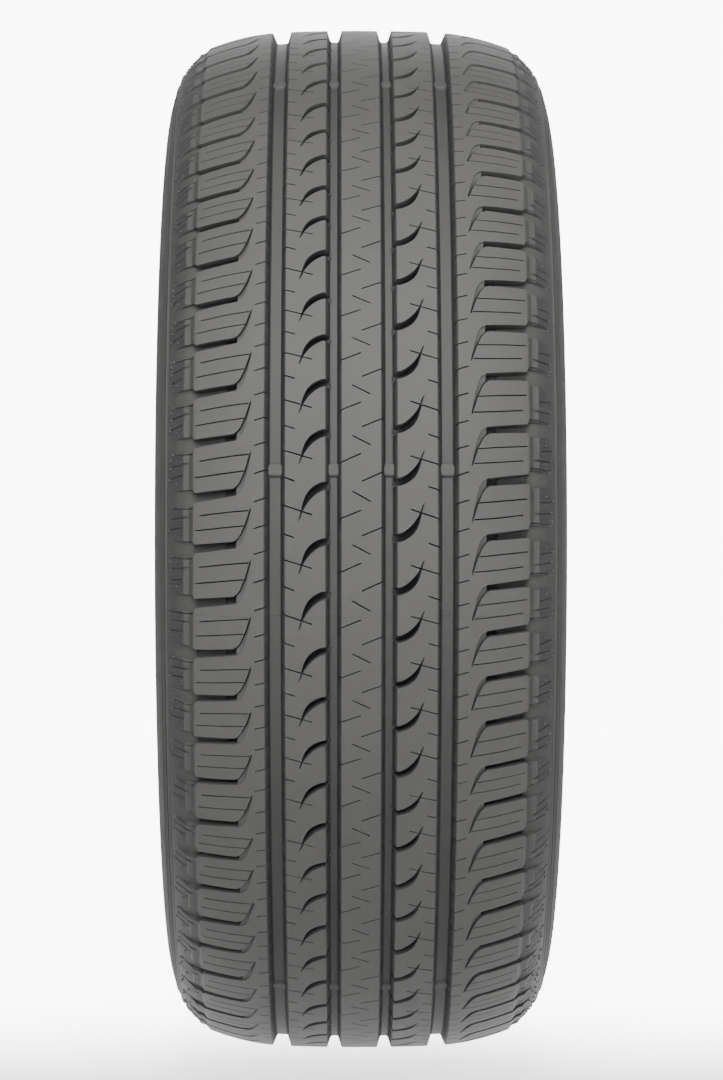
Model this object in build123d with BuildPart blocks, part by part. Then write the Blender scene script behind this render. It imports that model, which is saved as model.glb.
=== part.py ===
"""A passenger car tyre for an 18 inch rim, moulded in one piece.

The section is revolved about the wheel's axle, the Y axis, with the origin at the wheel's centre.
Four grooves run round the tread, and slots are cut over both shoulders, pitch by pitch.
"""

import os
from math import asin, cos, degrees, sin, sqrt

from build123d import *

# Ring, in millimetres
OUTER_RADIUS = 368.85
SECTION_HALF_WIDTH = 134.5
BEAD_SEAT_RADIUS = 231.0
BEAD_HALF_SPREAD = 101.6

# Crown, which is nearly flat in the middle and falls away towards the shoulder
CROWN_RADIUS = 1400.0
CROWN_HALF_WIDTH = 52.0
SHOULDER_RADIUS = 165.0
TREAD_HALF_WIDTH = 107.4

# Shoulder wall, and sidewall with its widest place a little above the middle
WIDEST_RISE = 5.0
SIDEWALL_BULGE = 7.5
BUTTRESS_DROP = 22.5
UPPER_SIDEWALL_BANDS = 2
LOWER_SIDEWALL_BANDS = 2

# Bead
RIM_LINE_HEIGHT = 25.0
RIM_LINE_OVERHANG = 10.4
BEAD_FACE_HEIGHT = 11.0
HEEL_CHAMFER = 5.0
BEAD_BASE_WIDTH = 18.5

# Walls
CROWN_THICKNESS = 16.0
SIDEWALL_THICKNESS = 7.4
LINER_CROWN_HALF_WIDTH = 94.0
APEX_HEIGHT = 20.0
APEX_THICKNESS = 12.0

# Grooves round the tread, each with the same depth
GROOVE_DEPTH = 8.2
INNER_GROOVE_CENTRE = 17.8
INNER_GROOVE_WIDTH = 10.2
INNER_GROOVE_FLOOR = 4.8
OUTER_GROOVE_CENTRE = 55.3
OUTER_GROOVE_WIDTH = 13.4
OUTER_GROOVE_FLOOR = 7.4

# Pitches: short, medium, long and extra long blocks follow each other in an uneven order against noise
PITCH_UNITS = {"S": 8, "M": 9, "L": 10, "X": 11}
PITCH_ORDER = (
    "LMLLSMSSLMMLLXLXLMMMLSMLMXLLMSM"
    "LXLMSLMXLLMMXSLLXMLMSXLLMXSMLXMLSMXLMSLXLM"
)

# Slots over the shoulders, with the angle of the first one on each side
SLOT_DEPTH = 5.0
SLOT_WIDTH = 5.2
SLOT_INNER_END = 80.0
LEFT_FIRST_SLOT = 72.2
RIGHT_FIRST_SLOT = 78.85


def crown_point(lateral):
    """The tread surface's place at a lateral distance: a flat arc, then a tighter arc tangent to it."""
    if lateral <= CROWN_HALF_WIDTH:
        return (lateral, OUTER_RADIUS - CROWN_RADIUS + sqrt(CROWN_RADIUS**2 - lateral**2))
    lean = asin(CROWN_HALF_WIDTH / CROWN_RADIUS)
    edge = crown_point(CROWN_HALF_WIDTH)
    centre = (edge[0] - SHOULDER_RADIUS * sin(lean), edge[1] - SHOULDER_RADIUS * cos(lean))
    return (lateral, centre[1] + sqrt(SHOULDER_RADIUS**2 - (lateral - centre[0]) ** 2))


def banded(arc, bands):
    """Places along an arc that split it into straight bands of equal length."""
    return [arc @ (band / bands) for band in range(bands + 1)]


# Places on the right half of the section, as lateral distance and radius
shoulder_edge = crown_point(TREAD_HALF_WIDTH)
buttress_foot = (SECTION_HALF_WIDTH - SIDEWALL_BULGE, shoulder_edge[1] - BUTTRESS_DROP)
rim_line = (BEAD_HALF_SPREAD + RIM_LINE_OVERHANG, BEAD_SEAT_RADIUS + RIM_LINE_HEIGHT)
widest = (SECTION_HALF_WIDTH, (rim_line[1] + buttress_foot[1]) / 2 + WIDEST_RISE)
bead_face_top = (BEAD_HALF_SPREAD, BEAD_SEAT_RADIUS + BEAD_FACE_HEIGHT)
heel_top = (BEAD_HALF_SPREAD, BEAD_SEAT_RADIUS + HEEL_CHAMFER)
heel = (BEAD_HALF_SPREAD - HEEL_CHAMFER, BEAD_SEAT_RADIUS)
toe = (BEAD_HALF_SPREAD - BEAD_BASE_WIDTH, BEAD_SEAT_RADIUS)
apex = (rim_line[0] - APEX_THICKNESS, BEAD_SEAT_RADIUS + APEX_HEIGHT)
liner_widest = (SECTION_HALF_WIDTH - SIDEWALL_THICKNESS, widest[1])
liner_crown_edge = (LINER_CROWN_HALF_WIDTH, OUTER_RADIUS - CROWN_THICKNESS)

crown = [
    (0, OUTER_RADIUS),
    (INNER_GROOVE_CENTRE, OUTER_RADIUS),
    crown_point(OUTER_GROOVE_CENTRE),
    crown_point(SLOT_INNER_END),
]
upper_sidewall = banded(TangentArc(widest, buttress_foot, tangent=(0, 1)), UPPER_SIDEWALL_BANDS)
lower_sidewall = banded(TangentArc(widest, rim_line, tangent=(0, -1)), LOWER_SIDEWALL_BANDS)

grooves = [
    (INNER_GROOVE_CENTRE, INNER_GROOVE_WIDTH, INNER_GROOVE_FLOOR),
    (OUTER_GROOVE_CENTRE, OUTER_GROOVE_WIDTH, OUTER_GROOVE_FLOOR),
]


def groove_outline(centre, width, floor):
    """A groove's section, a trapezoid that opens outwards, as far above the tread as below it."""
    top = crown_point(centre)[1]
    mouth = width - floor / 2
    return [
        (centre - floor / 2, top - GROOVE_DEPTH),
        (centre + floor / 2, top - GROOVE_DEPTH),
        (centre + mouth, top + GROOVE_DEPTH),
        (centre - mouth, top + GROOVE_DEPTH),
    ]


def slot_outline():
    """A slot's section: its floor follows the shoulder's slope and runs out through the shoulder wall."""
    inner = crown_point(SLOT_INNER_END)
    slope = (inner[1] - shoulder_edge[1]) / (TREAD_HALF_WIDTH - SLOT_INNER_END)
    floor = inner[1] - SLOT_DEPTH
    return [
        (SLOT_INNER_END, floor),
        (SECTION_HALF_WIDTH, floor - slope * (SECTION_HALF_WIDTH - SLOT_INNER_END)),
        (SECTION_HALF_WIDTH, OUTER_RADIUS),
        (SLOT_INNER_END, OUTER_RADIUS),
    ]


def section_plane(angle, length):
    """The plane through the axle where a slot starts, from its middle's angle and its length."""
    return Plane.YZ.rotated((0, 90 - angle - degrees(length / OUTER_RADIUS) / 2, 0))


def slot_angles(first):
    """The angle of each slot, one pitch after the other down the front of the tyre."""
    unit = 360 / sum(PITCH_UNITS[size] for size in PITCH_ORDER)
    angle = first
    for size in PITCH_ORDER:
        yield angle
        angle -= unit * PITCH_UNITS[size]


with BuildPart() as tyre:
    # The ring, with its grooves
    with BuildSketch(Plane.YZ):
        with BuildLine():
            Polyline(*crown, shoulder_edge, buttress_foot)
            Polyline(*upper_sidewall)
            Polyline(*lower_sidewall)
            Polyline(rim_line, bead_face_top, heel_top, heel, toe, apex)
            Polyline(apex, liner_widest, liner_crown_edge, (0, liner_crown_edge[1]))
            mirror(about=Plane.YZ)
        make_face()
        with BuildSketch(mode=Mode.SUBTRACT):
            for groove in grooves:
                with BuildLine():
                    Polyline(*groove_outline(*groove), close=True)
                make_face()
            mirror(about=Plane.YZ)
    revolve(axis=Axis.Y)

    # Slots over the left and the right shoulder, all in one cut
    for side, first in ((-1, LEFT_FIRST_SLOT), (1, RIGHT_FIRST_SLOT)):
        outline = [(side * lateral, radius) for lateral, radius in slot_outline()]
        for angle in slot_angles(first):
            with BuildSketch(section_plane(angle, SLOT_WIDTH)):
                with BuildLine():
                    Polyline(*outline, close=True)
                make_face()
    revolve(axis=Axis.Y, revolution_arc=degrees(SLOT_WIDTH / OUTER_RADIUS), mode=Mode.SUBTRACT)

tyre.part.label = "tyre"
os.makedirs("parts", exist_ok=True)
export_step(tyre.part, "parts/tyre.step")
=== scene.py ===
# %% [markdown]
# # A car tyre as one moulded surface
# A real tyre is cured in one mould, so its tread, sidewalls, beads and liner are one skin without a gap.
# This lesson builds that skin as one closed mesh. The tread is drawn flat, one pitch at a time, as a maker
# draws a mould segment, then wrapped round the axle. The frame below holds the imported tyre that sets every
# size.

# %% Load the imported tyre
import math

import bpy
import numpy as np
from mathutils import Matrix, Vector
from mathutils.geometry import delaunay_2d_cdt


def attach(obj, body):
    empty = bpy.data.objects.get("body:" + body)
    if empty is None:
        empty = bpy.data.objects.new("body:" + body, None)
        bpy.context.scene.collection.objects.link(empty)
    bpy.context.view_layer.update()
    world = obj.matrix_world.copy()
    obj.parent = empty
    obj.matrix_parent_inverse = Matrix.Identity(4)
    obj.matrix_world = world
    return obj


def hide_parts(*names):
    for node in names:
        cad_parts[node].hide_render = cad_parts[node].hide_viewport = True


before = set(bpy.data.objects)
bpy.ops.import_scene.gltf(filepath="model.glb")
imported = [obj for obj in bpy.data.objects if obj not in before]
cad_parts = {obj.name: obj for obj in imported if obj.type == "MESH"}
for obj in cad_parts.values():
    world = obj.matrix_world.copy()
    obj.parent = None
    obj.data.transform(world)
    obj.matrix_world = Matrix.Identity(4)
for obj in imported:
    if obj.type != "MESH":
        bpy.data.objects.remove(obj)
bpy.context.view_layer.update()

# %% [markdown]
# ## The uncut tread
# Seen in section, the crown is nearly flat, falls away on a tighter arc, and ends at a shoulder wall that
# swells a little. A spline through picked points could follow it, but two tangent arcs and a line are how
# the mould is drawn, and they give the exact lean of the surface, along which every groove goes down into
# the rubber.

# %% The tread's section, in millimetres
OUTER_RADIUS = 368.85
CROWN_RADIUS = 1400.0
CROWN_HALF_WIDTH = 52.0
SHOULDER_RADIUS = 165.0
TREAD_HALF_WIDTH = 107.4
WALL_FALL = 1.148
EDGE_EASE = (103.0, 113.0)
SWELL = 3.4
SWELL_SPAN = (103.0, 127.5)
CUBIC_BUMP_TOP = 4 / 27


def share_along(span, a):
    """How far a has come along a span: 0 up to its start, 1 from its end on."""
    return np.clip((a - span[0]) / (span[1] - span[0]), 0, 1)


def tread_section(u):
    """Radius and lean of the uncut tread at the lateral place u. The radius follows an arc about the far
    crown centre, then an arc tangent to it, then a line that falls by WALL_FALL for each millimetre. The
    wall swells by a cubic bump, s squared times one minus s. The lean is the slope's angle, and it changes
    smoothly from the arc's to the line's across the shoulder edge."""
    a = np.abs(u)
    turn = math.asin(CROWN_HALF_WIDTH / CROWN_RADIUS)
    crown_centre = OUTER_RADIUS - CROWN_RADIUS
    crown = crown_centre + np.sqrt(CROWN_RADIUS**2 - np.minimum(a, CROWN_HALF_WIDTH) ** 2)
    b = np.clip(a, CROWN_HALF_WIDTH, TREAD_HALF_WIDTH) - CROWN_HALF_WIDTH + SHOULDER_RADIUS * math.sin(turn)
    arc_centre = crown_centre + (CROWN_RADIUS - SHOULDER_RADIUS) * math.cos(turn)
    arc = arc_centre + np.sqrt(SHOULDER_RADIUS**2 - b**2)
    fall = WALL_FALL * np.maximum(a - TREAD_HALF_WIDTH, 0)
    s = share_along(SWELL_SPAN, a)
    swell = SWELL * s**2 * (1 - s) / CUBIC_BUMP_TOP
    on_crown = a < CROWN_HALF_WIDTH
    radius = np.where(on_crown, crown, arc) - fall + swell
    lean = np.where(on_crown, np.arcsin(a / CROWN_RADIUS), np.arcsin(b / SHOULDER_RADIUS))
    t = share_along(EDGE_EASE, a)
    ease = t * t * (3 - 2 * t)
    return radius, np.sign(u) * (lean * (1 - ease) + math.atan(WALL_FALL) * ease)


def tread_place(u, angle, depth):
    """Places on the tread in millimetres: u across, angle round the axle, depth along the lean."""
    radius, lean = tread_section(u)
    r = radius - depth * np.cos(lean)
    axes = np.broadcast_arrays(r * np.cos(angle), u - depth * np.sin(lean), r * np.sin(angle))
    return np.stack(axes, axis=-1)


print("radius and lean at the shoulder edge:", tread_section(np.array([TREAD_HALF_WIDTH])))

# %% [markdown]
# ## The uneven pitches
# If every block were as long as the next, the tyre would sing one note. So moulds mix a few block lengths
# in an order that looks random. Lengths drawn at random would do the same, but an order of letters can be
# read off a real tyre. Each letter is one pitch, and its units share out the full turn.

# %% Pitch spans round the tyre
PITCH_UNITS = {"S": 8, "M": 9, "L": 10, "X": 11}
PITCH_ORDER = (
    "LMLLSMSSLMMLLXLXLMMMLSMLMXLLMSM"
    "LXLMSLMXLLMMXSLLXMLMSXLLMXSMLXMLSMXLMSLXLM"
)
units = np.array([PITCH_UNITS[letter] for letter in PITCH_ORDER], float)
spans = 2 * math.pi * units / units.sum()
least, most = np.degrees([spans.min(), spans.max()]).round(2)
print(len(spans), "pitches of", least, "to", most, "degrees")

# %% [markdown]
# ## Slots as ribbons
# A slot, a hook and a thin sipe are all ribbons between two edges in the flat plan of the tread. Boolean
# cutters would also make them, but hundreds of cuts are slow and leave ragged faces. A ribbon carries its
# depth with it: nothing at its edges, then a steep or a slanted wall down to the floor.

# %% Ribbon helpers
# Steps are pairs of an inset from the ribbon's edge and the share of its depth that is reached there
SLOT_STEPS = ((0.0, 0.0), (0.5, 1.0))
RIM_STEP = ((0.0, 0.0),)
WIDEST_INSET = 0.46
LEAST_INSET = 0.01
SIPE_WIDTH = 0.88
OUTSIDE = -9.0
TOUCH = 1e-3
NO_AREA = 1e-9


def ribbon(edge_a, edge_b, depth, steps_a=SLOT_STEPS, steps_b=SLOT_STEPS):
    """Plan and depth of a slot. Row i goes straight from edge_a[i] to edge_b[i]. A step (inset, share)
    puts a column at that distance in from its edge, where the slot has that share of depth[i]. In narrow
    rows the insets shrink."""
    a, b = np.array(edge_a, float), np.array(edge_b, float)
    width = np.linalg.norm(b - a, axis=1)
    unit = (b - a) / width[:, None]
    sides = []
    for start, sign, steps in ((a, 1, steps_a), (b, -1, steps_b)):
        inset = np.array([step[0] for step in steps])
        scaled = inset * np.minimum(1, WIDEST_INSET * width / max(inset.max(), LEAST_INSET))[:, None]
        sides.append(start[:, None] + sign * unit[:, None] * scaled[..., None])
    shares = [step[1] for step in steps_a] + [step[1] for step in steps_b][::-1]
    plan = np.concatenate([sides[0], sides[1][:, ::-1]], axis=1)
    return plan, np.array(depth, float)[:, None] * np.array(shares)


def sipe(path, width=SIPE_WIDTH):
    """A thin cut along a path of places (u, v, depth), as a ribbon with its edges half a width to each
    side and its bottom in the middle."""
    path = np.array(path, float)
    line, depth = path[:, :2], path[:, 2]
    along = np.gradient(line, axis=0)
    across = np.stack([-along[:, 1], along[:, 0]], axis=1) / np.linalg.norm(along, axis=1)[:, None]
    half = across * width / 2
    return ribbon(line - half, line + half, depth, ((0.0, 0.0), (width / 2, 1.0)), RIM_STEP)


def ribbon_triangles(rows, columns):
    """Vertex numbers of the two triangles in each cell of a grid."""
    n = np.arange(rows * columns).reshape(rows, columns)
    corners = np.stack([n[:-1, :-1], n[1:, :-1], n[1:, 1:], n[:-1, 1:]], axis=-1).reshape(-1, 4)
    return np.concatenate([corners[:, [0, 1, 2]], corners[:, [0, 2, 3]]])


def depth_under(points, cut):
    """Depth of one ribbon under each point: its weights in each triangle blend the corners' depths, and a
    point outside every triangle gets a depth far above the tread, so that it changes nothing."""
    plan, level = cut
    triangles = ribbon_triangles(*level.shape)
    p = plan.reshape(-1, 2)[triangles]
    e, f = p[:, 1] - p[:, 0], p[:, 2] - p[:, 0]
    area = e[:, 0] * f[:, 1] - e[:, 1] * f[:, 0]
    area = np.where(np.abs(area) < NO_AREA, np.inf, area)
    d = points[:, None] - p[None, :, 0]
    s = (d[..., 0] * f[:, 1] - d[..., 1] * f[:, 0]) / area
    t = (e[:, 0] * d[..., 1] - e[:, 1] * d[..., 0]) / area
    inside = (s > -TOUCH) & (t > -TOUCH) & (s + t < 1 + TOUCH) & np.isfinite(area)
    z = level.ravel()[triangles]
    blend = z[:, 0] + s * (z[:, 1] - z[:, 0]) + t * (z[:, 2] - z[:, 0])
    return np.where(inside, blend, OUTSIDE).max(axis=1)


def deepest(points, cuts):
    """Depth of the deepest ribbon under each point."""
    return np.max([depth_under(points, cut) for cut in cuts], axis=0)


print("a slot has", len(SLOT_STEPS) * 2, "columns, a sipe 3")

# %% [markdown]
# ## One shoulder block
# The plan has u outwards from the tyre's middle and v along the tread. A slot with a raised floor runs out
# over the shoulder and widens there, a thin tail bends off its inner end beside a slanted face, and two
# sipes cross the block. Past the edge come a shallow step, a narrow ledge with one gap, the rough shoulder
# wall and a fine ring. All this could be sculpted, but points in a plan keep every edge where the mould
# has it. A second ribbon on the slot's own edges says how much shade is painted into the rubber there.

# %% Shoulder block, in plan and in section
GROOVE_DEPTH = 8.2
WALL_SIPE_WIDTH = 1.0
BANK_STEPS = ((0.0, 0.0), (0.9, 1.0))
SHADE_STEPS = ((0.0, 0.0), (0.9, 0.25))
SLIT_STEPS = ((0.0, 0.0), (0.38, 1.0), (0.8, 0.36))
FACE_STEPS = ((0.0, 0.0), (0.35, 0.2))
SLOT_EDGE = [
    (79.7, -1.3), (80.2, -1.05), (82.0, -0.1), (87.2, 0.3), (88.2, 0.4), (98.0, 1.3),
    (107.0, 2.1), (108.6, -0.4), (111.2, -0.4), (114.2, -0.4), (118.0, -0.3), (121.0, -0.2),
]
BANK_EDGE = [
    (79.7, 4.6), (80.2, 4.75), (82.0, 5.0), (87.2, 5.8), (88.2, 5.95), (98.0, 7.4),
    (106.6, 8.7), (107.6, 11.4), (111.2, 11.8), (114.2, 11.8), (118.0, 11.4), (121.0, 10.8),
]
slot_over_shoulder = ribbon(
    SLOT_EDGE, BANK_EDGE,
    [0, 6.8, 6.8, 6.8, 5.8, 5.6, 5.0, 4.2, 2.9, 1.8, 0.9, 0.4],
    SLOT_STEPS, BANK_STEPS,
)
# Painted shade in the slot, most along its steep edge and in the pocket
slot_shade = ribbon(
    SLOT_EDGE, BANK_EDGE,
    [0, 1.2, 1.2, 1.2, 0.8, 0.8, 0.8, 0.4, 0.1, 0, 0, 0],
    SLOT_STEPS, SHADE_STEPS,
)
tail_beside_slanted_face = ribbon(
    [
        (81.0, -0.6), (79.1, -2.2), (77.2, -4.9), (75.5, -9.2),
        (74.5, -11.6), (72.9, -16.9), (71.3, -22.2), (70.6, -24.6),
    ],
    [
        (80.2, 4.5), (77.0, 2.5), (75.1, -1.0), (73.6, -5.8),
        (72.7, -10.2), (71.5, -15.6), (70.3, -21.6), (69.9, -24.4),
    ],
    [5.0, 5.0, 5.0, 4.8, 4.6, 4.2, 4.0, 0],
    SLIT_STEPS, FACE_STEPS,
)
ledge_gap = ribbon(
    [(109.6, -19.1), (110.6, -19.1), (114.0, -19.0), (115.4, -18.9)],
    [(109.6, -17.0), (110.6, -17.0), (114.0, -16.8), (115.4, -16.7)],
    [1.2, 1.3, 1.0, 0.35],
)
block_sipes = [
    [
        (103.3, -18.9, 0), (102.9, -19.0, 5), (97.5, -19.7, 5),
        (90.0, -20.7, 5), (80.0, -21.7, 5), (72.0, -22.3, 3),
    ],
    [(106.1, -8.05, 0), (105.7, -8.1, 5), (95.0, -9.3, 5), (85.0, -10.4, 5), (75.0, -11.4, 4)],
    [(68.4, 8.85, 0), (68.0, 8.7, 5), (60.6, 6.2, 5)],
    [(68.4, -9.45, 0), (68.0, -9.6, 5), (60.6, -12.1, 5)],
]
wall_sipes = [
    [
        (107.9, 12.2, 0), (108.8, 12.6, 2.1), (111.0, 12.8, 2.2),
        (113.4, 12.8, 0.8), (118.0, 12.5, 1.1), (120.8, 12.2, 0),
    ],
    [(113.8, -17.9, 0), (114.6, -17.8, 1.1), (121.0, -17.2, 1.1), (121.6, -17.1, 0)],
    [(114.6, -10.4, 0), (115.4, -10.3, 1.1), (122.0, -8.9, 1.1), (122.6, -8.8, 0)],
]
shoulder = {
    "pitch": 37.0,
    "end_line": [
        (56.9, -27.2), (66.0, -26.7), (72.0, -27.1), (80.0, -27.8),
        (98.4, -25.0), (107.5, -23.2), (126.6, -22.6),
    ],
    "section": [
        (56.9, GROOVE_DEPTH), (58.7, GROOVE_DEPTH), (59.5, 7.4), (61.9, 0.35), (62.4, 0.0), (103.0, 0.0),
        (104.9, 0.1), (106.3, 0.34), (107.5, 0.7), (108.7, 1.1), (110.7, 1.2), (111.1, 1.0), (113.3, -0.3),
        (113.8, -0.1), (114.4, 0.35), (124.6, 0.45), (125.6, -0.65), (126.0, 0.3), (126.6, 0.8),
    ],
    "columns": [70.4, 78.4, 86.4, 94.4, 119.4],
    "cuts": [
        slot_over_shoulder,
        tail_beside_slanted_face,
        ledge_gap,
        *[sipe(path) for path in block_sipes],
        *[sipe(path, WALL_SIPE_WIDTH) for path in wall_sipes],
    ],
    "shade": slot_shade,
    "shade_above": OUTSIDE,
}
print("shoulder block:", len(shoulder["cuts"]), "cuts")

# %% [markdown]
# ## One rib with its hook, and the centre rib
# Between the grooves lies a rib with a hook that opens into the inner groove and curves to a point, and
# two sipes from its other edge. The centre rib has three short sipes. Both are drawn the same way as the
# block, so that one routine can make all three.

# %% Hook rib and centre rib, in plan and in section
SLOPE_STEPS = ((0.0, 0.0), (1.3, 1.0))
SLOPE_SHADE_STEPS = ((0.0, 0.0), (1.3, 0.65))
HOOK_RIM_SHADE = 0.2
HOOK_EDGE = [
    (19.6, 0.0), (21.6, 0.0), (25.0, 0.3), (28.0, 1.5), (31.0, 3.3), (33.5, 5.6),
    (35.5, 8.6), (37.0, 12.3), (38.0, 15.8), (39.0, 19.8), (40.3, 24.2),
]
SLOPE_EDGE = [
    (19.6, 5.4), (21.4, 5.2), (25.3, 5.8), (28.5, 7.6), (31.5, 10.1), (34.0, 12.9),
    (36.0, 15.9), (37.2, 18.2), (37.9, 20.2), (38.6, 22.2), (39.9, 24.7),
]
hook = ribbon(
    HOOK_EDGE, SLOPE_EDGE,
    [7.4, 7.4, 7.4, 7.4, 7.4, 7.2, 6.4, 4.0, 2.8, 2.4, 0],
    SLOT_STEPS, SLOPE_STEPS,
)
# Painted shade in the hook, darkest at its middle
hook_shade = ribbon(
    HOOK_EDGE, SLOPE_EDGE,
    [0.7, 0.7, 1.0, 1.4, 1.6, 1.6, 1.3, 0.9, 0.7, 0.6, 0],
    SLOT_STEPS, SLOPE_SHADE_STEPS,
)
hook_rib = {
    "pitch": 34.8,
    "end_line": [(18.9, -6.0), (53.7, -6.0)],
    "section": [
        (18.9, GROOVE_DEPTH), (19.9, GROOVE_DEPTH), (20.6, 7.4), (22.8, 0.35), (23.3, 0.0),
        (48.3, 0.0), (48.8, 0.35), (51.2, 7.4), (51.9, GROOVE_DEPTH), (53.7, GROOVE_DEPTH),
    ],
    "columns": [29.0, 35.0, 41.6],
    "cuts": [
        hook,
        sipe([(50.0, 14.2, 5), (48.0, 14.9, 5), (31.6, 20.1, 5), (31.2, 20.2, 0)]),
        sipe([(50.0, -2.9, 5), (48.0, -2.2, 5), (42.8, -0.4, 5), (42.4, -0.3, 0)]),
    ],
    "shade": hook_shade,
    "shade_above": HOOK_RIM_SHADE,
}
centre_rib = {
    "pitch": 36.2,
    "end_line": [(-16.7, -8.5), (16.7, -8.5)],
    "section": [
        (-16.7, GROOVE_DEPTH), (-15.7, GROOVE_DEPTH), (-15.0, 7.4), (-12.8, 0.35), (-12.3, 0.0),
        (12.3, 0.0), (12.8, 0.35), (15.0, 7.4), (15.7, GROOVE_DEPTH), (16.7, GROOVE_DEPTH),
    ],
    "columns": [-6.0, 0.0, 6.0],
    "cuts": [
        sipe([(-14.0, 0.5, 5), (-12.0, -0.4, 5), (-0.6, -5.5, 5), (-0.2, -5.7, 0)]),
        sipe([(-6.0, 18.1, 0), (-5.6, 18.35, 5), (5.5, 24.6, 5), (5.9, 24.8, 0)]),
        sipe([(0.2, 12.1, 0), (0.6, 11.9, 5), (12.0, 6.7, 5), (14.0, 5.8, 5)]),
    ],
}
print("hook rib:", len(hook_rib["cuts"]), "cuts, centre rib:", len(centre_rib["cuts"]), "cuts")

# %% [markdown]
# ## From plan to triangles
# Every edge of every ribbon, and every corner line of the section, has to be an edge of the mesh, or the
# walls would come out jagged. A fine grid could only come near them. A constrained Delaunay triangulation
# takes all these lines at once and splits them where they cross. The two ends of a pitch follow a line
# that no cut crosses, so neighbours can share their points.

# %% Triangulate one pitch
ROWS_IN_PITCH = 2
INSIDE_LINES = 1
SNAP = 1e-4
NEAR = 1e-3


def pairs_of(first, second):
    """Two arrays of point numbers as a list of pairs."""
    return np.stack([first, second], axis=-1).reshape(-1, 2)


def grid_lines(plan):
    """Points of a grid and the pairs of neighbours along both its directions."""
    n = np.arange(plan[..., 0].size).reshape(plan.shape[:2])
    return plan.reshape(-1, 2), np.concatenate([pairs_of(n[:-1], n[1:]), pairs_of(n[:, :-1], n[:, 1:])])


def field_lines(tile):
    """Points of a pitch without its cuts, and the pairs along the section's corner lines and along both
    ends. The other columns have loose points only, and those that lie in a cut are left out."""
    end_u, end_v = np.transpose(tile["end_line"])
    section_u = np.array(tile["section"])[:, 0]
    columns = np.unique(np.concatenate([section_u, tile["columns"], end_u]))
    run = tile["pitch"] * np.linspace(0, 1, ROWS_IN_PITCH + 1)
    v = np.interp(columns, end_u, end_v) + run[:, None]
    points = np.stack(np.broadcast_arrays(columns, v), axis=-1).reshape(-1, 2)
    n = np.arange(v.size).reshape(v.shape)
    corner = np.isin(columns, section_u)
    ends = n[[0, -1]]
    pairs = np.concatenate([pairs_of(n[:-1, corner], n[1:, corner]), pairs_of(ends[:, :-1], ends[:, 1:])])
    loose = np.zeros(v.shape, bool)
    loose[1:-1] = np.isin(columns, tile["columns"]) & ~corner
    kept = ~(loose.ravel() & (deepest(points, tile["cuts"]) > OUTSIDE))
    number = np.cumsum(kept) - 1
    return points[kept], number[pairs]


def run_in_pitch(tile, plan):
    """How far each place of the plan lies past the line at which its pitch starts."""
    return plan[:, 1] - np.interp(plan[:, 0], *np.transpose(tile["end_line"]))


def triangulate(tile):
    """Triangles of one pitch in plan, the points of its two ends in order, and the depth at each point,
    which is the deepest of the section's and every cut's."""
    points, pairs = field_lines(tile)
    for cut_plan, _ in tile["cuts"]:
        cut_points, cut_pairs = grid_lines(cut_plan)
        pairs = np.concatenate([pairs, cut_pairs + len(points)])
        points = np.concatenate([points, cut_points])
    flat = [Vector(point) for point in points.tolist()]
    made = delaunay_2d_cdt(flat, pairs.tolist(), [], INSIDE_LINES, SNAP, False)
    plan = np.array([tuple(point) for point in made[0]], float)
    triangles = np.array([list(face) for face in made[2]], int)
    run = run_in_pitch(tile, plan[triangles].mean(axis=1))
    triangles = triangles[(run > SNAP) & (run < tile["pitch"] - SNAP)]
    run = run_in_pitch(tile, plan)
    ends = [np.flatnonzero(np.abs(run - end) < NEAR) for end in (0, tile["pitch"])]
    first, last = [end[np.argsort(plan[end, 0])] for end in ends]
    depth = np.maximum(np.interp(plan[:, 0], *np.transpose(tile["section"])), deepest(plan, tile["cuts"]))
    tile.update(plan=plan, triangles=triangles, first=first, last=last, depth=depth)


tiles = {"shoulder": shoulder, "hook rib": hook_rib, "centre rib": centre_rib}
for name, tile in tiles.items():
    triangulate(tile)
    print(name, len(tile["plan"]), "points,", len(tile["triangles"]), "triangles")
    print("points at its two ends:", len(tile["first"]), len(tile["last"]))

# %% [markdown]
# ## Wrapping the pitches round the tyre
# The left rows run down the front and the right rows are the same drawing turned by half a turn, so they
# run up. Each row has its own start angle: the rows are moved against each other so that their slots don't
# meet the road at once. An array modifier could repeat one block, but not stretch each copy, and every
# pitch here stretches the drawing to its own span.

# %% Lay the five rows
# Each row has its drawing, its start in degrees, its side, and whether v runs down the front
ROWS = {
    "left shoulder": (shoulder, 70.95, -1, True),
    "left rib": (hook_rib, 68.65, -1, True),
    "centre": (centre_rib, 70.9, 1, True),
    "right rib": (hook_rib, 77.16, 1, False),
    "right shoulder": (shoulder, 79.9, 1, False),
}


def pitch_angles(tile, start, downwards, v):
    """Angles of the places v in every pitch of a row: a place's share of its pitch is its share of the
    pitch's span. The pitches come in the order in which v runs through them."""
    origin = np.mean(np.array(tile["end_line"])[:, 1])
    share = (v - origin) / tile["pitch"]
    ends = math.radians(start) - np.cumsum(spans)
    if downwards:
        return (ends + spans)[:, None] - share * spans[:, None]
    return ends[::-1, None] + share * spans[::-1, None]


def lay_round(tile, start, side, downwards):
    """A tile repeated round the axle. The last points of a pitch are the first points of the next one, so
    the row closes on itself."""
    u, v = tile["plan"].T
    angle = pitch_angles(tile, start, downwards, v)
    number = np.arange(angle.size).reshape(angle.shape)
    number[:, tile["last"]] = np.roll(number[:, tile["first"]], -1, axis=0)
    faces = number[:, tile["triangles"]].reshape(-1, 3)
    flip = (side > 0) == downwards
    return {
        "tile": tile,
        "places": tread_place(side * u, angle, tile["depth"]).reshape(-1, 3),
        "faces": faces[:, ::-1] if flip else faces,
        "number": number,
    }


rows = {name: lay_round(*row) for name, row in ROWS.items()}
print({name: len(row["faces"]) for name, row in rows.items()})

# %% [markdown]
# ## Sidewalls, beads and liner
# The rest of the skin is a turned form: one profile carried round the axle. It leaves the right tread
# edge, goes down the bulging sidewall with its fine rings, round the bead that grips the rim, up the liner
# inside, and back the same way on the left. A free curve could be drawn, but arcs from end points and a
# tangent match the frame's own drawing.

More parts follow.
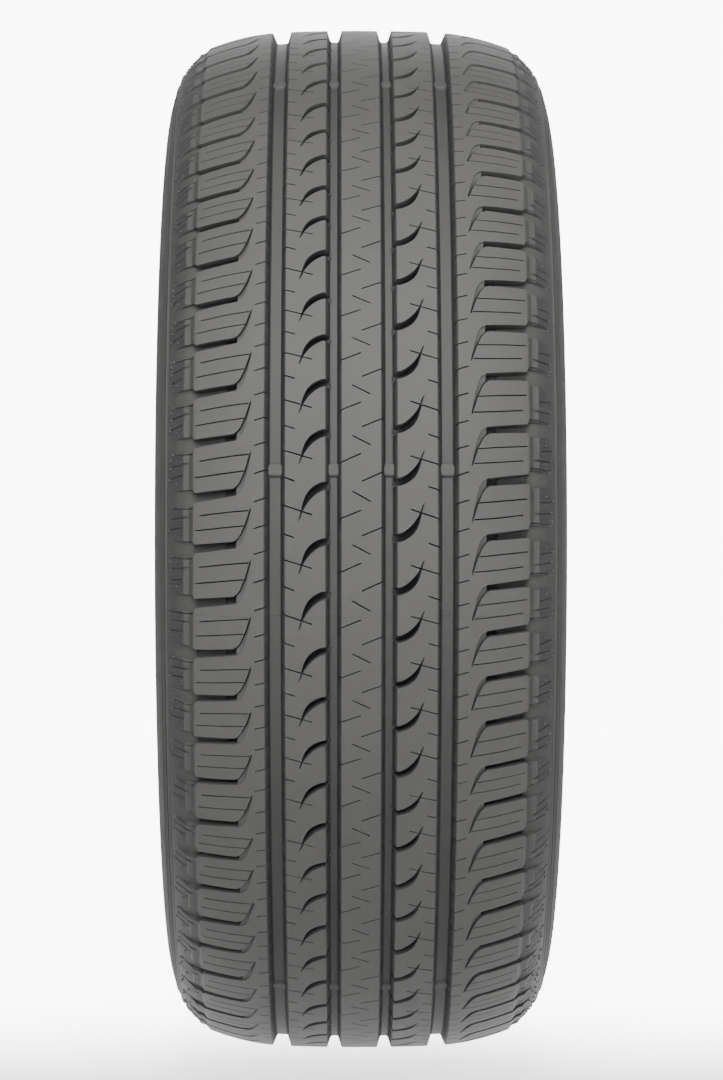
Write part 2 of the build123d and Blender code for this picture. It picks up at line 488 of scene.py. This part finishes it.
# %% The casing's profile
SECTION_HALF_WIDTH = 134.5
WIDEST_RADIUS = 300.0
SHOULDER_FOOT = (127.0, 333.6)
RIM_LINE = (112.0, 256.0)
BEAD_SEAT_RADIUS = 231.0
LINER_CROWN = (94.0, 352.85)
LINER_WIDEST = (127.1, 300.0)
APEX = (100.0, 251.0)
UPPER_STEPS, LOWER_STEPS = 7, 9
# Fine rings, each with its radius, its width and its lift
SIDE_RINGS = [(329.6, 0.6, 0.6), (277.0, 0.6, 0.35), (266.5, 2.2, 1.5), (258.5, 0.6, 0.5)]
RING_STEPS = np.array([-2.0, -1.1, -0.4, 0.4, 1.1, 2.0])
# Curves by their start, corner, end and number of points
BEAD_BENDS = [
    ((111.2, 254.4), (104.0, 247.5), (101.9, 241.0), 7),
    ((101.6, 238.5), (101.6, 231.2), (95.5, BEAD_SEAT_RADIUS), 8),
    ((86.0, BEAD_SEAT_RADIUS), (83.1, BEAD_SEAT_RADIUS), (83.6, 233.4), 6),
    ((86.5, 238.0), (92.5, 245.5), (97.0, 250.0), 4),
]
LINER_BENDS = [
    ((118.0, 283.5), LINER_WIDEST, (115.9, 318.0), 7),
    ((101.0, 341.7), LINER_CROWN, (80.0, LINER_CROWN[1]), 6),
]


def on_side_arc(radius, widest, end):
    """Lateral place at a radius on the arc that leaves the widest place straight up or down and passes
    through the end: its centre lies level with the widest place, inwards by its radius."""
    across, along = widest[0] - end[0], end[1] - widest[1]
    turn = (across**2 + along**2) / (2 * across)
    return widest[0] - turn + np.sqrt(turn**2 - (radius - widest[1]) ** 2)


def bend(start, corner, end, count):
    """Points of a curve that leaves start towards a corner and reaches end from it, blended by squares."""
    t = np.linspace(0, 1, count)[:, None]
    return (1 - t) ** 2 * np.array(start) + 2 * t * (1 - t) * np.array(corner) + t**2 * np.array(end)


widest = (SECTION_HALF_WIDTH, WIDEST_RADIUS)
heights = [
    np.linspace(SHOULDER_FOOT[1], WIDEST_RADIUS, UPPER_STEPS),
    np.linspace(WIDEST_RADIUS, RIM_LINE[1], LOWER_STEPS),
]
heights += [ring + width * RING_STEPS for ring, width, _ in SIDE_RINGS]
side_radius = np.unique(np.concatenate(heights))[::-1]
upper_side = on_side_arc(side_radius, widest, SHOULDER_FOOT)
lower_side = on_side_arc(side_radius, widest, RIM_LINE)
side_lateral = np.where(side_radius > WIDEST_RADIUS, upper_side, lower_side)
side_lateral += sum(lift * np.exp(-(((side_radius - ring) / width) ** 2)) for ring, width, lift in SIDE_RINGS)
outer_side = np.stack([side_lateral, side_radius], axis=1)
bead = np.concatenate([bend(*curve) for curve in BEAD_BENDS])
liner = np.concatenate([[APEX], *[bend(*curve) for curve in LINER_BENDS], [(0.0, LINER_CROWN[1])]])
half_profile = np.concatenate([outer_side, bead, liner])
profile = np.concatenate([half_profile, half_profile[-2::-1] * (-1, 1)])
print("casing profile:", len(profile), "points")

# %% Turn the casing round the axle
ROUND_COLUMNS = 120


def ring_cells(levels, columns):
    """Point numbers of a grid that is closed round, and the four corners of each of its cells."""
    here = np.arange(levels * columns).reshape(levels, columns)
    there = np.roll(here, -1, axis=1)
    return here, np.stack([here[:-1], here[1:], there[1:], there[:-1]], axis=-1)


turns = np.linspace(0, 2 * math.pi, ROUND_COLUMNS, endpoint=False)
lateral, radius = profile.T[..., None]
casing_axes = np.broadcast_arrays(radius * np.cos(turns), lateral, radius * np.sin(turns))
casing_places = np.stack(casing_axes, axis=-1).reshape(-1, 3)
casing_grid, casing_cells = ring_cells(len(profile), ROUND_COLUMNS)
casing_faces = np.concatenate([
    casing_cells[..., [0, 1, 2]].reshape(-1, 3),
    casing_cells[..., [0, 2, 3]].reshape(-1, 3),
])
print("casing:", len(casing_faces), "triangles")

# %% [markdown]
# ## Closing the skin
# The rows have different points along their edges, because each has its own start. A finer grid could make
# them match, at the cost of many more triangles. So two such rings are closed like a zip: going round,
# each edge of either ring makes one triangle with the point last reached on the other ring.

# %% Zip the rings together
FIRST_SIDE, LAST_SIDE = 0, -1


def zip_rings(places, low, high):
    """Triangles between two rings of point numbers. Both are sorted by angle; an edge's turn comes at its
    middle angle, and the number of turns that the other ring has had by then picks the third corner."""
    order = []
    for ring in (low, high):
        angle = np.mod(np.arctan2(places[ring, 2], places[ring, 0]), 2 * math.pi)
        rank = np.argsort(angle)
        ring, angle = ring[rank], angle[rank]
        closed = np.append(angle, angle[0] + 2 * math.pi)
        order.append((np.append(ring, ring[0]), (closed[:-1] + closed[1:]) / 2))
    (a, turn_a), (b, turn_b) = order
    reached_b, reached_a = np.searchsorted(turn_b, turn_a), np.searchsorted(turn_a, turn_b)
    return np.concatenate([
        np.stack([a[:-1], b[reached_b], a[1:]], axis=1),
        np.stack([b[:-1], b[1:], a[reached_a]], axis=1),
    ])


def side_ring(name, side):
    """Point numbers in the whole skin along the first or the last side of a row, each once."""
    row = rows[name]
    u = row["tile"]["section"][side][0]
    on_side = np.flatnonzero(np.abs(row["tile"]["plan"][:, 0] - u) < NEAR)
    return np.unique(row["number"][:, on_side]) + row["offset"]


casing_offset = 0
for row in rows.values():
    row["offset"] = casing_offset
    casing_offset += len(row["places"])
places = np.concatenate([row["places"] for row in rows.values()] + [casing_places])
skin_faces = [row["faces"] + row["offset"] for row in rows.values()] + [casing_faces + casing_offset]
for low, high in (
    (casing_grid[-1] + casing_offset, side_ring("left shoulder", LAST_SIDE)),
    (side_ring("left shoulder", FIRST_SIDE), side_ring("left rib", LAST_SIDE)),
    (side_ring("left rib", FIRST_SIDE), side_ring("centre", FIRST_SIDE)),
    (side_ring("centre", LAST_SIDE), side_ring("right rib", FIRST_SIDE)),
    (side_ring("right rib", LAST_SIDE), side_ring("right shoulder", FIRST_SIDE)),
    (side_ring("right shoulder", LAST_SIDE), casing_grid[0] + casing_offset),
):
    skin_faces.append(zip_rings(places, low, high))
faces = np.concatenate(skin_faces)
print("whole skin:", len(faces), "triangles")

# %% [markdown]
# ## Notes for the rubber
# A mould is polished in some places and left rough in others, and shade in the cuts is painted into the
# rubber's grey. Masks could be painted by hand, but the drawing already knows every place. So four numbers
# go along with each point: how deep it lies, which paints shade into the cuts; how much more painted shade
# the wall of its cut gets; how rough the shoulder wall is there, with painted shade in its step and beside
# its ring ridge and a painted highlight on the ridge; and the casing's tone, darker towards the sidewalls'
# widest place, with the liner painted lighter.

# %% Four numbers for each point
# Shoulder wall by lateral place: painted shade in the step, lighter ledge, rough wall, painted highlight on
# the ring ridge, painted shade beside it
WALL_FINISH_AND_LIGHT = [
    (107.4, 0.0), (108.4, 0.8), (110.8, 0.8), (111.2, 0.3), (113.4, 0.3),
    (114.2, 1.0), (124.5, 1.0), (124.9, 0.0), (125.7, 0.0), (126.0, 1.8),
]
CHANNEL_FINISH = [(107.4, 0.1), (112.0, 0.3), (117.0, 0.6), (121.0, 0.9)]
CHANNEL_DEPTH = 0.2
DARK_BELOW = 2.0
FLOOR_FADE = 2.5
WALL_DARKNESS = 0.88
BLOCK_START, BLOCK_DARKNESS = 63.0, 0.6
# Casing tone: darker from the rim towards the widest place, and the liner painted lighter
RIM_SHADE, WIDEST_SHADE, LINER_PAINTED_LIGHT = 0.3, 0.9, -0.6


def wall_shade(tile):
    """Painted shade on a cut's wall: more from DARK_BELOW down, nothing on a groove's floor, less in the
    shoulder block. Where the tile's shade ribbon lies above its limit, the ribbon's painted shade is used
    instead."""
    depth = tile["depth"]
    dark = np.clip(np.minimum(depth - DARK_BELOW, FLOOR_FADE * (GROOVE_DEPTH - depth)), 0, 1)
    dark = WALL_DARKNESS * np.where(tile["plan"][:, 0] > BLOCK_START, BLOCK_DARKNESS * dark, dark)
    if "shade" not in tile:
        return dark
    drawn = depth_under(tile["plan"], tile["shade"])
    return np.where(drawn > tile["shade_above"], np.maximum(drawn, 0), dark)


def shoulder_finish_and_light(tile):
    """The shoulder wall's rough finish at each point, with painted shade in the step beside the tread's edge
    and beside the ring ridge, a painted highlight on the ridge, lighter on the ledge, and smoother and
    lighter where the slot runs out over the wall.
    """
    u = tile["plan"][:, 0]
    in_channel = (depth_under(tile["plan"], slot_over_shoulder) > CHANNEL_DEPTH) & (u > TREAD_HALF_WIDTH)
    smoother = np.interp(u, *np.transpose(CHANNEL_FINISH))
    return np.where(in_channel, smoother, np.interp(u, *np.transpose(WALL_FINISH_AND_LIGHT)))


def over_skin(note):
    """A note at every point of the skin: each pitch repeats its tile's, and the casing has none."""
    per_row = [np.tile(row["tile"][note], len(spans)) for row in rows.values()]
    return np.concatenate(per_row + [np.zeros(len(casing_places))])


for tile in tiles.values():
    # Painted shade: the grey gets darker the deeper a point lies in a cut
    tile["painted_depth_shade"] = np.clip(tile["depth"] / GROOVE_DEPTH, 0, 1)
    tile["painted_cut_shade"] = wall_shade(tile)
    tile["wall_finish_and_painted_light"] = shoulder_finish_and_light(tile) if tile is shoulder else np.zeros(len(tile["plan"]))
half_casing_tone_and_light = np.concatenate([
    np.interp(side_radius, (RIM_LINE[1], WIDEST_RADIUS), (RIM_SHADE, WIDEST_SHADE)),
    np.full(len(bead), RIM_SHADE),
    np.full(len(liner), LINER_PAINTED_LIGHT),
])
casing_tone_and_light_rows = np.concatenate([half_casing_tone_and_light, half_casing_tone_and_light[-2::-1]])
skin_notes = {note: over_skin(note) for note in ("painted_depth_shade", "painted_cut_shade", "wall_finish_and_painted_light")}
skin_notes["casing_tone_and_painted_light"] = np.concatenate([np.zeros(casing_offset), np.repeat(casing_tone_and_light_rows, ROUND_COLUMNS)])
print({note: (values.min().round(2), values.max().round(2)) for note, values in skin_notes.items()})

# %% [markdown]
# ## The mesh
# Only now does Blender get the arrays. Its own modelling tools would need thousands of steps for the same
# skin. Points that a seam made spare are dropped first, and edges that turn by more than the angle below
# stay sharp.

# %% Make the tyre's mesh
MM = 0.001
SHARP_ANGLE = math.radians(18)


def make_mesh(name, points, triangles, notes):
    """A mesh object of the points that the triangles use, in metres, with each note's number per point."""
    used, packed = np.unique(triangles, return_inverse=True)
    mesh = bpy.data.meshes.new(name)
    mesh.from_pydata((points[used] * MM).tolist(), [], packed.reshape(-1, 3).tolist())
    for note, values in notes.items():
        mesh.attributes.new(note, "FLOAT", "POINT").data.foreach_set("value", values[used].astype(np.float32))
    mesh.shade_smooth()
    mesh.set_sharp_from_angle(angle=SHARP_ANGLE)
    piece = bpy.data.objects.new(name, mesh)
    bpy.context.collection.objects.link(piece)
    return piece


tyre_skin = make_mesh("tyre_skin", places, faces, skin_notes)
print(tyre_skin.name, len(tyre_skin.data.vertices), "points", len(tyre_skin.data.polygons), "triangles")

# %% [markdown]
# ## Wear bars
# Low bars cross the groove floors at six places round the tyre, and show when the tread is worn down. They
# could be part of the drawing, but then every pitch would have them. Each is a short bank with sloping
# ends, sunk a little into the floor and the groove walls so that no gap shows.

# %% Make the wear bars
WEAR_ANGLES = np.radians([59.2, 6.97, -57.4, -116.0, -174.0, 117.0])
BAR_LENGTH, BAR_CORNER = 9.4, 1.3
BAR_LEVELS = np.array([-0.4, 0.0, 1.2, 1.7])
BAR_FLARES = np.array([0.0, 0.0, 0.35, 0.0])
BAR_SHORTENINGS = np.array([0.0, 0.0, 0.7, 1.7])
# Painted shade on the wear bars, as for a place part-way down a groove
BAR_PAINTED_SHADE = 0.35
# Grooves by their middle and half their width
GROOVES = [(-17.8, 3.3), (-55.3, 4.3), (17.8, 3.3), (55.3, 4.3)]


def stacked(levels, corners):
    """Triangles of a closed body made of level rings of corners, one above the other, with flat ends."""
    here = np.arange(corners)
    following = np.roll(here, -1)
    band = np.concatenate([
        np.stack([here, following, following + corners], axis=1),
        np.stack([here, following + corners, here + corners], axis=1),
    ])
    fan = np.stack([np.zeros(corners - 2, int), here[1:-1], here[2:]], axis=1)
    bands = [band + corners * level for level in range(levels - 1)]
    return np.concatenate(bands + [fan[:, ::-1], fan + corners * (levels - 1)])


def make_bodies(name, bodies, notes):
    """One mesh of many stacked bodies, from an array of their corners by body, level and corner."""
    count, levels, corners = bodies.shape[:3]
    starts = levels * corners * np.arange(count)[:, None, None]
    return make_mesh(name, bodies.reshape(-1, 3), (stacked(levels, corners) + starts).reshape(-1, 3), notes)


def bank(centre, half_width, angle):
    """Points of one bar, eight corners at each level. A bar is a rectangle with cut corners; as it rises
    it gets wider, as the groove does, and shorter, so its ends slope and its top is eased."""
    w = (half_width + BAR_FLARES)[:, None]
    h = (BAR_LENGTH / 2 - BAR_SHORTENINGS)[:, None]
    c = BAR_CORNER
    u = np.concatenate([c - w, w - c, w, w, w - c, c - w, -w, -w], axis=1)
    v = np.concatenate([-h, -h, c - h, h - c, h, h, h - c, c - h], axis=1)
    return tread_place(centre + u, angle + v / OUTER_RADIUS, GROOVE_DEPTH - BAR_LEVELS[:, None])


banks = np.array([bank(centre, half, angle) for centre, half in GROOVES for angle in WEAR_ANGLES])
wear_bars = make_bodies("wear_bars", banks, {"painted_depth_shade": np.full(banks[..., 0].size, BAR_PAINTED_SHADE)})
print(wear_bars.name, len(banks), "bars")

# %% [markdown]
# ## Vent stubs on the shoulder wall
# Air leaves the mould through tiny vents, and the rubber that follows it stays on as stubs. They repeat
# with every pitch. Thin round hairs would be nearer to some tyres, but a small flat-topped pyramid is
# light enough to be repeated hundreds of times.

# %% Make the vent stubs
WALL_STUBS = np.array([(121.0, 11.0), (122.6, -22.4), (122.2, -16.2), (123.2, -8.4), (118.5, -5.4)])
GROOVE_STUBS = np.array([(20.1, 0.4)])
STUB_FOOT, STUB_TOP, STUB_NARROWING = 0.7, 0.4, 0.66
STUB_HEIGHT, STUB_SINK, WALL_DEPTH = 0.8, 0.3, 0.4
ACROSS, ALONG = np.array([-1, 1, 1, -1]), np.array([-1, -1, 1, 1])


def stubs(name, spots, depth):
    """Eight corners of each stub in a row: a four-sided foot below the wall and a smaller top above it."""
    tile, start, side, downwards = ROWS[name]
    angle = pitch_angles(tile, start, downwards, spots[:, 1])
    half = np.array([[STUB_FOOT], [STUB_TOP]])
    level = np.array([[depth + STUB_SINK], [depth - STUB_HEIGHT]])
    u = side * spots[:, 0, None, None] + STUB_NARROWING * half * ACROSS
    turn = angle[..., None, None] + half * ALONG / OUTER_RADIUS
    return tread_place(u, turn, level).reshape(-1, 2, 4, 3)


stub_bodies = np.concatenate([
    stubs("left shoulder", WALL_STUBS, WALL_DEPTH),
    stubs("right shoulder", WALL_STUBS, WALL_DEPTH),
    stubs("left rib", GROOVE_STUBS, GROOVE_DEPTH),
    stubs("right rib", GROOVE_STUBS, GROOVE_DEPTH),
])
vent_stubs = make_bodies("vent_stubs", stub_bodies, {})
print(vent_stubs.name, len(stub_bodies), "stubs")

# %% [markdown]
# ## Rubber
# New tyre rubber is a dark satin grey with a faint warm cast. The mould leaves a fine grain, a rough
# finish on the shoulder wall, and thin lines where its segments meet. A picture could be painted on, but a
# few noises read at each point of the object itself follow the surface with no seam. The small class lets
# node maths read as sums.

# %% Node sums
class Wire:
    """A node socket that can be used in sums: each operator adds one Math node to the same tree."""

    def __init__(self, tree, socket=None):
        self.tree, self.socket = tree, socket

    def node(self, kind, settings=None, sockets=None, out=0):
        """Any node: its settings are set first, then its sockets' values or links."""
        made = self.tree.nodes.new(kind)
        for key, value in (settings or {}).items():
            setattr(made, key, value)
        for key, value in (sockets or {}).items():
            if isinstance(value, Wire):
                self.tree.links.new(value.socket, made.inputs[key])
            else:
                made.inputs[key].default_value = value
        return Wire(self.tree, made.outputs[out])

    def beside(self, out):
        """Another output of the node that this one comes from."""
        return Wire(self.tree, self.socket.node.outputs[out])

    def maths(self, operation, first, second=0.0):
        """A Math node of one or two values."""
        return self.node("ShaderNodeMath", {"operation": operation}, {0: first, 1: second})

    def __add__(self, other):
        return self.maths("ADD", self, other)

    def __radd__(self, other):
        return self.maths("ADD", other, self)

    def __sub__(self, other):
        return self.maths("SUBTRACT", self, other)

    def __rsub__(self, other):
        return self.maths("SUBTRACT", other, self)

    def __mul__(self, other):
        return self.maths("MULTIPLY", self, other)

    def __rmul__(self, other):
        return self.maths("MULTIPLY", other, self)


def new_material(name):
    """A material with its shader and a wire to start from."""
    material = bpy.data.materials.new(name)
    material.use_nodes = True
    tree = material.node_tree
    return material, tree.nodes["Principled BSDF"], Wire(tree)


print("sums are ready")

# %% Mix the rubber
RUBBER_DARK = (0.0040, 0.0039, 0.0037, 1.0)
RUBBER_LIGHT = (0.0415, 0.0405, 0.0387, 1.0)
CLOUD = {"Scale": 14.0, "Detail": 5.0, "Roughness": 0.6}
GRAIN = {"Scale": 950.0, "Detail": 3.0}
TONE = 0.474
TONE_WEIGHTS = {
    "cloud": 0.272,
    "grain": 0.181,
    # Painted shade, darker the deeper a point lies
    "painted_depth_shade": -0.236,
    # Painted shade on the walls of cuts, slots and hooks
    "painted_cut_shade": -0.544,
    # Rough shoulder wall, with painted shade in its step and beside the ring ridge and a painted highlight on
    # the ridge
    "wall_finish_and_painted_light": -0.508,
    # Darker towards the sidewalls' widest place, and the liner painted lighter
    "casing_tone_and_painted_light": -0.363,
    "seam": -0.27,
}
ROUGHNESS = 0.6
ROUGHNESS_WEIGHTS = {
    "cloud": 0.1,
    "grain": 0.08,
    "painted_cut_shade": 0.2,
    "wall_finish_and_painted_light": 0.08,
    "casing_tone_and_painted_light": 0.3,
}
PARTING_STEP = math.radians(38.6)
PARTING_START = math.radians(7.8)
SEAM_EDGES = (0.0002, 0.0009)
HATCH_PER_MM, HATCH_WANDER = 4.2, 9.0
GRAIN_HEIGHT, HATCH_HEIGHT = 0.5, 0.35
BUMP = {"Strength": 0.35, "Distance": 0.0004}
SPECULAR = 0.3
MIX_FACTOR, MIX_A, MIX_B, MIX_OUT = 0, 6, 7, 2


def weighed(base, weights, parts):
    """The base plus each part times its weight."""
    return sum((weight * parts[part] for part, weight in weights.items()), base)


def mix_rubber(name):
    """Rubber whose grey follows two noises and the four notes, which carry painted shade in the cuts and on
    the shoulder wall, a painted highlight on its ring ridge and a liner painted lighter, with thin lines at
    the mould's partings.
    The grain is bump, and so is the shoulder wall's hatching, a sine of the angle round the axle that
    wanders with the cloud."""
    material, shader, start = new_material(name)
    place = start.node("ShaderNodeTexCoord", out="Object")
    parts = {
        note: start.node("ShaderNodeAttribute", {"attribute_name": note}, out="Fac") for note in skin_notes
    }
    parts["cloud"] = start.node("ShaderNodeTexNoise", sockets={"Vector": place, **CLOUD})
    parts["grain"] = start.node("ShaderNodeTexNoise", sockets={"Vector": place, **GRAIN})
    along = start.node("ShaderNodeSeparateXYZ", sockets={0: place})
    angle = start.maths("ARCTAN2", along.beside("Z"), along)
    parting = start.maths("PINGPONG", angle + PARTING_START, PARTING_STEP / 2)
    seam_range = {"From Min": SEAM_EDGES[0], "From Max": SEAM_EDGES[1], "To Min": 1.0, "To Max": 0.0}
    parts["seam"] = start.node("ShaderNodeMapRange", sockets={"Value": parting, **seam_range})
    hatch = start.maths("SINE", angle * (OUTER_RADIUS * HATCH_PER_MM) + HATCH_WANDER * parts["cloud"])
    height = GRAIN_HEIGHT * parts["grain"] + HATCH_HEIGHT * parts["wall_finish_and_painted_light"] * hatch
    tone = weighed(TONE, TONE_WEIGHTS, parts)
    mix = {MIX_FACTOR: tone, MIX_A: RUBBER_DARK, MIX_B: RUBBER_LIGHT}
    looks = {
        "Base Color": start.node("ShaderNodeMix", {"data_type": "RGBA"}, mix, out=MIX_OUT),
        "Roughness": weighed(ROUGHNESS, ROUGHNESS_WEIGHTS, parts),
        "Normal": start.node("ShaderNodeBump", sockets={"Height": height, **BUMP}),
    }
    for socket, wire in looks.items():
        material.node_tree.links.new(wire.socket, shader.inputs[socket])
    shader.inputs["Specular IOR Level"].default_value = SPECULAR
    return material


rubber = mix_rubber("tyre_rubber")
for piece in (tyre_skin, wear_bars, vent_stubs):
    piece.data.materials.append(rubber)
    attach(piece, "root")
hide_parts("tyre")
print("rubber has", len(rubber.node_tree.nodes), "nodes")

# %% [markdown]
# ## Studio
# The tyre stands on white paper in a round cove: a flat floor that curves up into a wall on every side, so
# that no edge shows from anywhere. A sheet bent up at the back would end at both sides. Behind the tyre
# the paper is lit from within, and the other light is broad and soft, from the front and above.

# %% Paper cove
FLOOR = -OUTER_RADIUS * MM
FLOOR_RINGS = [0.5, 2.0]
FLAT_RADIUS, COVE_BEND, WALL_HEIGHT = 4.4, 1.6, 6.0
COVE_COLUMNS, BEND_STEPS = 64, 17
quarter = np.linspace(0, math.pi / 2, BEND_STEPS)
bend_radius = FLAT_RADIUS + COVE_BEND * np.sin(quarter)
bend_height = COVE_BEND - COVE_BEND * np.cos(quarter)
cove_radius = np.concatenate([FLOOR_RINGS, bend_radius, bend_radius[-1:]])[:, None]
cove_height = np.concatenate([np.zeros(len(FLOOR_RINGS)), bend_height, [WALL_HEIGHT]])[:, None] + FLOOR
around = np.linspace(0, 2 * math.pi, COVE_COLUMNS, endpoint=False)
cove_axes = np.broadcast_arrays(cove_radius * np.cos(around), cove_radius * np.sin(around), cove_height)
cove_points = np.stack(cove_axes, axis=-1).reshape(-1, 3)
cove_grid, cove_cells = ring_cells(len(cove_radius), COVE_COLUMNS)
cove_faces = cove_cells.reshape(-1, 4).tolist() + [cove_grid[0].tolist()]
cove_mesh = bpy.data.meshes.new("paper_cove")
cove_mesh.from_pydata(cove_points.tolist(), [], cove_faces)
cove_mesh.shade_smooth()
paper_cove = bpy.data.objects.new("paper_cove", cove_mesh)
bpy.context.collection.objects.link(paper_cove)
print("paper cove", len(cove_faces), "faces")

# %% White paper
PAPER_WHITE = (0.76, 0.76, 0.76, 1.0)
PAPER_ROUGHNESS = 0.9
PAPER_GLOW = 8.0
GLOW_FRONT, GLOW_FULL = 0.32, -0.3
STRIP_HALF_WIDTH, STRIP_FLARE = 0.273, 0.1
STRIP_EDGE, STRIP_FULL = 0.6, 0.05


def faded(value, nothing, full):
    """0 where the value is at nothing, 1 where it is at full, and a smooth step between."""
    ends = {"Value": value, "From Min": nothing, "From Max": full}
    return value.node("ShaderNodeMapRange", {"interpolation_type": "SMOOTHSTEP"}, ends)


def white_paper(name):
    """White paper that glows in a strip behind the tyre. The strip gets wider towards the back by
    STRIP_FLARE for each metre, and its glow fades out towards the front and towards both sides."""
    material, shader, start = new_material(name)
    forward = start.node("ShaderNodeSeparateXYZ", sockets={0: start.node("ShaderNodeTexCoord", out="Object")})
    past_strip = start.maths("ABSOLUTE", forward.beside("Y")) + STRIP_FLARE * forward - STRIP_HALF_WIDTH
    glow = faded(forward, GLOW_FRONT, GLOW_FULL) * faded(past_strip, STRIP_EDGE, STRIP_FULL)
    material.node_tree.links.new(glow.socket, shader.inputs["Emission Color"])
    shader.inputs["Emission Strength"].default_value = PAPER_GLOW
    shader.inputs["Base Color"].default_value = PAPER_WHITE
    shader.inputs["Roughness"].default_value = PAPER_ROUGHNESS
    return material


cove_mesh.materials.append(white_paper("paper"))
print("paper has", len(cove_mesh.materials[0].node_tree.nodes), "nodes")

# %% Lights
# Each box has its place and its size in metres, and its power in watts
SOFT_BOXES = {
    "front_box": ((2.5, 0.0, 1.9), (0.9, 3.0), 325),
    "left_box": ((-0.6, -2.6, 1.4), (1.4, 1.4), 10),
    "right_box": ((-0.6, 2.6, 1.4), (1.4, 1.4), 34),
}
WORLD_WHITE, WORLD_STRENGTH = (1, 1, 1, 1), 0.25


def soft_box(name, place, size, power):
    """A rectangular area light at a place, turned towards the tyre's centre."""
    light = bpy.data.lights.new(name, "AREA")
    light.shape = "RECTANGLE"
    light.size, light.size_y = size
    light.energy = power
    lamp = bpy.data.objects.new(name, light)
    lamp.location = place
    lamp.rotation_euler = (-Vector(place)).to_track_quat("-Z", "Y").to_euler()
    bpy.context.collection.objects.link(lamp)


for name, box in SOFT_BOXES.items():
    soft_box(name, *box)
world = bpy.data.worlds.new("studio")
world.use_nodes = True
background = world.node_tree.nodes["Background"]
background.inputs["Color"].default_value = WORLD_WHITE
background.inputs["Strength"].default_value = WORLD_STRENGTH
bpy.context.scene.world = world
print(len(SOFT_BOXES), "soft boxes")

# %% [markdown]
# ## Camera
# The photograph was taken from axle height, square on to the tread, from about 2.7 metres with a long
# lens. The place could be found by trial, but the lens comes from the tyre's height in the image, which is
# taken as 723 by 1080 pixels.

# %% Place the camera
IMAGE_HEIGHT = 1080
FOCAL_PIXELS = 3727.0
SENSOR_HEIGHT = 24.0
CAMERA_DISTANCE = 2.7295
CAMERA_TURN = 0.00465
AIM_RIGHT, AIM_UP = 0.00198, -0.00073
lens = bpy.data.cameras.new("camera")
lens.sensor_fit = "VERTICAL"
lens.sensor_height = SENSOR_HEIGHT
lens.lens = FOCAL_PIXELS / IMAGE_HEIGHT * SENSOR_HEIGHT
camera = bpy.data.objects.new("camera", lens)
camera.location = (CAMERA_DISTANCE * math.cos(CAMERA_TURN), -CAMERA_DISTANCE * math.sin(CAMERA_TURN), 0)
aim = Vector((0, AIM_RIGHT, AIM_UP)) - camera.location
camera.rotation_euler = aim.to_track_quat("-Z", "Y").to_euler()
bpy.context.collection.objects.link(camera)
bpy.context.scene.camera = camera
print("lens", round(lens.lens, 1), "mm")
